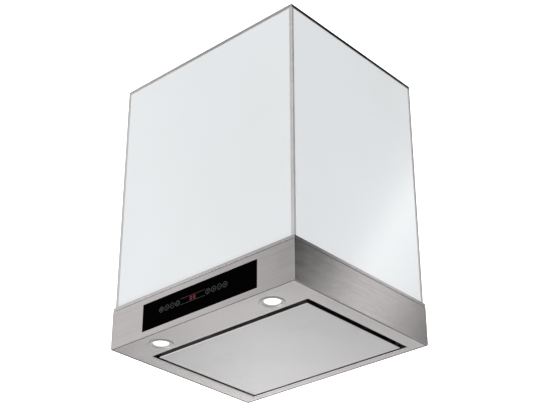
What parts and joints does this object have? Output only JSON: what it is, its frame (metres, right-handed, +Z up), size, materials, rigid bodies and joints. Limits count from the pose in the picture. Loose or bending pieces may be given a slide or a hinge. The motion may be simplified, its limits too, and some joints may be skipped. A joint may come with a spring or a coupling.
{
  "type": "island range hood",
  "caption": "Square island range hood: stainless base with perimeter suction panel, touch control and lamps under a ceiling-hung frame closed in by white glass panels.",
  "frame": {"origin": "centre of the ceiling plate's top face, where the hood meets the ceiling", "axes": "+Z up into the ceiling, +X to the right along the control side, +Y from the control side to the back"},
  "size_m": [0.6, 0.5005, 0.767],
  "materials": {
    "stainless": "brushed stainless steel with a fine straight grain",
    "satin_trim": "satin stainless steel",
    "white_glass": "clear glass painted white behind, gloss",
    "black_glass": "black gloss glass with touch marks behind it",
    "lamp_lens": "frosted lamp glass, lit",
    "galvanised": "zinc-coated sheet steel, matt",
    "black_paint": "matt black paint",
    "aluminium": "aluminium, satin",
    "shaft_steel": "ground steel",
    "dark_plastic": "moulded dark grey plastic",
    "grey_plastic": "moulded grey plastic"
  },
  "bodies": {
    "hood": {"base_shell": "stainless", "bottom_frame": "stainless", "lip_rail": "stainless", "top_rail": "satin_trim", "corner_post_front_left": "satin_trim", "corner_post_front_right": "satin_trim", "corner_post_back_left": "satin_trim", "corner_post_back_right": "satin_trim", "lamp_ring_left": "satin_trim", "lamp_ring_right": "satin_trim", "glass_panel_front": "white_glass", "glass_panel_back": "white_glass", "glass_panel_left": "white_glass", "glass_panel_right": "white_glass", "control_glass": "black_glass", "lamp_lens_left": "lamp_lens", "lamp_lens_right": "lamp_lens", "base_deck": "galvanised", "filter_frame": "galvanised", "filter_seat": "galvanised", "blower_box": "galvanised", "blower_scroll": "galvanised", "fan_motor": "galvanised", "motor_bracket": "galvanised", "outlet_collar": "galvanised", "ceiling_plate": "galvanised", "upright_front_left": "galvanised", "upright_front_right": "galvanised", "upright_back_left": "galvanised", "upright_back_right": "galvanised", "brace_front": "galvanised", "brace_back": "galvanised", "brace_left": "galvanised", "brace_right": "galvanised", "hinge_bracket_left": "black_paint", "hinge_bracket_right": "black_paint", "panel_magnet_left": "black_paint", "panel_magnet_right": "black_paint", "lamp_housing_left": "aluminium", "lamp_housing_right": "aluminium", "hinge_pin_left": "shaft_steel", "hinge_pin_right": "shaft_steel", "flap_pin": "shaft_steel", "control_housing": "dark_plastic", "cable_gland": "dark_plastic", "terminal_box": "grey_plastic", "lamp_driver": "grey_plastic"},
    "panel": {"suction_panel": "stainless", "panel_stiffener_left": "galvanised", "panel_stiffener_right": "galvanised"},
    "filter_left": {"grease_filter_left": "aluminium"},
    "filter_right": {"grease_filter_right": "aluminium"},
    "latch_left": {"filter_latch_left": "dark_plastic"},
    "latch_right": {"filter_latch_right": "dark_plastic"},
    "fan_rotor": {"impeller": "dark_plastic", "impeller_shaft": "shaft_steel"},
    "flap_front": {"damper_flap_front": "aluminium"},
    "flap_back": {"damper_flap_back": "aluminium"}
  },
  "joints": [
    {"name": "panel_open", "type": "hinge", "parent": "hood", "child": "panel", "pos_m": [0, 0.203, -0.757], "axis": [1, 0, 0], "range_deg": [0, 90]},
    {"name": "filter_left_tilt", "type": "hinge", "parent": "hood", "child": "filter_left", "pos_m": [-0.126, 0.1785, -0.6996], "axis": [1, 0, 0], "range_deg": [0, 9]},
    {"name": "filter_right_tilt", "type": "hinge", "parent": "hood", "child": "filter_right", "pos_m": [0.126, 0.1785, -0.6996], "axis": [1, 0, 0], "range_deg": [0, 9]},
    {"name": "latch_left_press", "type": "slide", "parent": "filter_left", "child": "latch_left", "axis": [0, 1, 0], "range_m": [0, 0.006], "stiffness_N_per_m": 300},
    {"name": "latch_right_press", "type": "slide", "parent": "filter_right", "child": "latch_right", "axis": [0, 1, 0], "range_m": [0, 0.006], "stiffness_N_per_m": 300},
    {"name": "fan_spin", "type": "hinge", "parent": "hood", "child": "fan_rotor", "pos_m": [0, 0, -0.515], "axis": [1, 0, 0], "continuous": true},
    {"name": "flap_front_lift", "type": "hinge", "parent": "hood", "child": "flap_front", "pos_m": [0, 0.09875, -0.3472], "axis": [-1, 0, 0], "range_deg": [0, 75]},
    {"name": "flap_back_lift", "type": "hinge", "parent": "hood", "child": "flap_back", "pos_m": [0, 0.09875, -0.3472], "axis": [1, 0, 0], "range_deg": [0, 75]}
  ]
}
